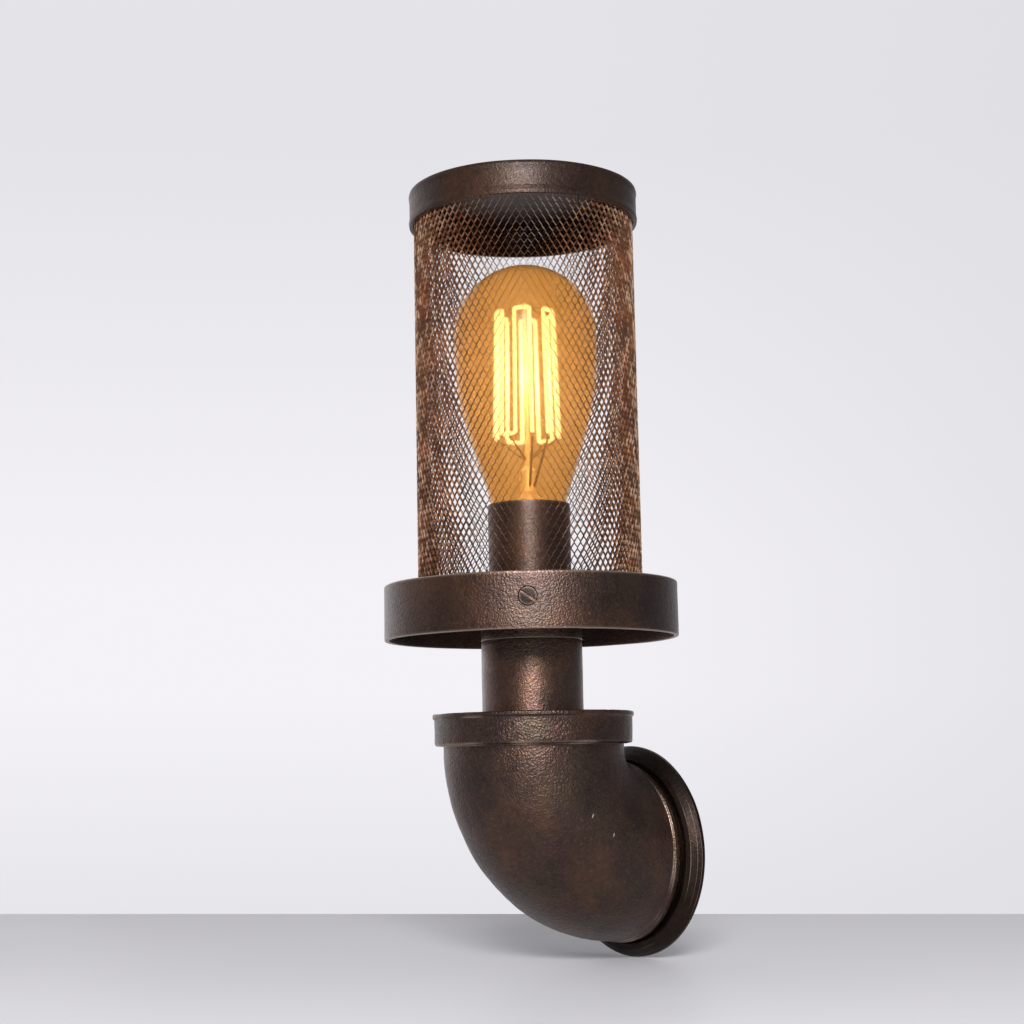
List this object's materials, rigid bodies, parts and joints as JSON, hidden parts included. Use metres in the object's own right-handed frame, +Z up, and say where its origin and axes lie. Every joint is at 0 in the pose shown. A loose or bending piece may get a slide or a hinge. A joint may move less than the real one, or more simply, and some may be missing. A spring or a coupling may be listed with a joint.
{
  "type": "wall light",
  "caption": "Pipe elbow wall light with a round wall flange, a drum shaped guard ring, a tall diamond mesh guard with a top cap and a teardrop filament bulb.",
  "frame": {"origin": "centre of the wall bracket's back face, on the wall", "axes": "+Y into the wall, square to it; +Z up along the lamp; the light stands out towards -Y; +X to the right as one looks at the wall"},
  "size_m": [0.129, 0.1315, 0.3419],
  "materials": {
    "bronze_finish": "oil rubbed bronze paint with copper brown patches, fine grain",
    "dark_bronze": "dark bronze paint, satin",
    "mesh_bronze": "bronze brown paint on fine diamond mesh",
    "dark_steel": "painted steel screws, slots worn bright",
    "zinc_steel": "zinc plated",
    "brass": "plain brass",
    "solder": "dull solder",
    "porcelain": "glazed porcelain",
    "white_plastic": "moulded plastic",
    "black_rubber": "soft rubber",
    "brown_insulation": "silicone insulation",
    "blue_insulation": "silicone insulation",
    "green_insulation": "silicone insulation",
    "black_glass": "fused black glass",
    "amber_glass": "clear amber tinted glass",
    "clear_glass": "clear glass",
    "filament_glow": "glowing filament",
    "wire_metal": "fine support wire"
  },
  "bodies": {
    "fixture": {"wall_bracket": "zinc_steel", "cable_grommet": "black_rubber", "earth_screw": "brass", "terminal_block": "white_plastic", "terminal_screws": "zinc_steel", "live_lead": "brown_insulation", "neutral_lead": "blue_insulation", "earth_lead": "green_insulation", "wall_flange": "bronze_finish", "elbow": "bronze_finish", "elbow_screws": "dark_steel", "reducing_bush": "bronze_finish", "collar_screw": "dark_steel", "stem_pipe": "bronze_finish", "neck_sleeve": "bronze_finish", "threaded_tube": "zinc_steel", "lower_washer": "zinc_steel", "lower_nut": "zinc_steel", "carrier_plate": "dark_bronze", "upper_nut": "zinc_steel", "holder_sleeve": "dark_bronze", "holder_body": "porcelain", "screw_shell": "brass", "centre_contact": "brass", "clamp_screws": "brass"},
    "guard": {"guard_ring": "bronze_finish", "mesh_guard": "mesh_bronze", "top_cap": "bronze_finish"},
    "bulb": {"bulb_contact": "solder", "bulb_insulator": "black_glass", "bulb_cap": "brass", "bulb_glass": "amber_glass", "glass_stem": "clear_glass", "filament": "filament_glow", "support_wires": "wire_metal"},
    "lock_screw_a": {"set_screw_a": "dark_steel"},
    "lock_screw_b": {"set_screw_b": "dark_steel"},
    "lock_screw_c": {"set_screw_c": "dark_steel"}
  },
  "joints": [
    {"name": "guard_lift", "type": "slide", "parent": "fixture", "child": "guard", "axis": [0, 0, 1], "range_m": [0, 0.175]},
    {"name": "bulb_unscrew", "type": "slide", "parent": "fixture", "child": "bulb", "axis": [0, 0, 1], "range_m": [0, 0.022]},
    {"name": "set_screw_a_turn_out", "type": "slide", "parent": "guard", "child": "lock_screw_a", "axis": [0.766, -0.6428, 0], "range_m": [0, 0.004]},
    {"name": "set_screw_b_turn_out", "type": "slide", "parent": "guard", "child": "lock_screw_b", "axis": [0.1736, 0.9848, 0], "range_m": [0, 0.004]},
    {"name": "set_screw_c_turn_out", "type": "slide", "parent": "guard", "child": "lock_screw_c", "axis": [-0.9397, -0.342, 0], "range_m": [0, 0.004]}
  ]
}
